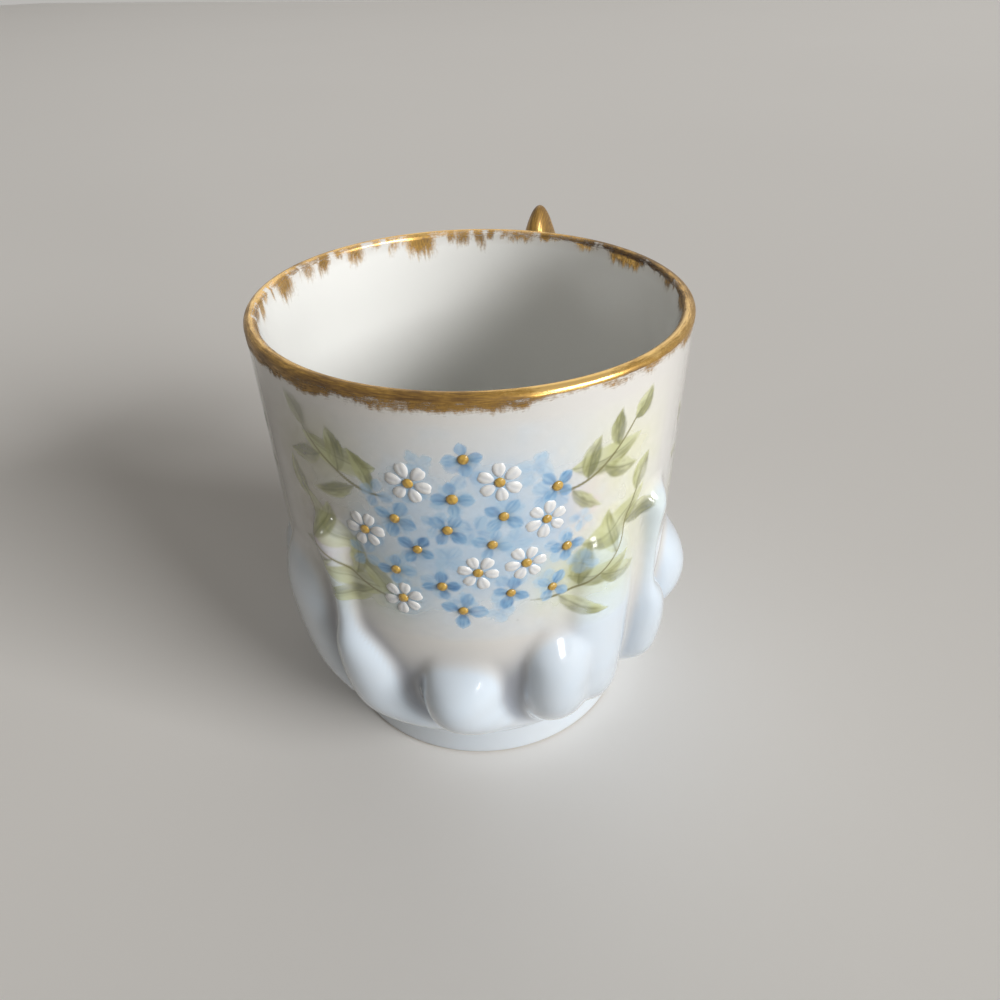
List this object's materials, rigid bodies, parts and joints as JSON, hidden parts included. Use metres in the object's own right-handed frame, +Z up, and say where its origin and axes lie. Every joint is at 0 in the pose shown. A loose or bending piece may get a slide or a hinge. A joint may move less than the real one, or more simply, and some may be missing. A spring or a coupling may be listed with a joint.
{
  "type": "teacup",
  "caption": "Straight-sided porcelain teacup with a swirled relief base, a ring handle with a thumb spur, a gilded lip and a small enamel posy; it holds a hot drink.",
  "frame": {"origin": "on the cup's axis, in the plane of the foot ring that it rests on", "axes": "+Z up along the cup's axis, +X towards the handle"},
  "size_m": [0.0934, 0.075, 0.0773],
  "materials": {
    "porcelain_body": "clear gloss glaze, pale blue tint on the relief",
    "porcelain_handle": "clear gloss glaze",
    "handle_slip": "glazed clay slip",
    "gilding": "brushed-on fired gold, worn",
    "white_enamel": "raised glossy enamel",
    "yellow_enamel": "raised glossy enamel"
  },
  "bodies": {
    "root": {"cup_body": "porcelain_body", "handle": "porcelain_handle", "upper_handle_slip": "handle_slip", "lower_handle_slip": "handle_slip", "rim_gilding": "gilding", "handle_gilding": "gilding", "white_enamel_petals": "white_enamel", "yellow_enamel_centres": "yellow_enamel"}
  },
  "joints": []
}
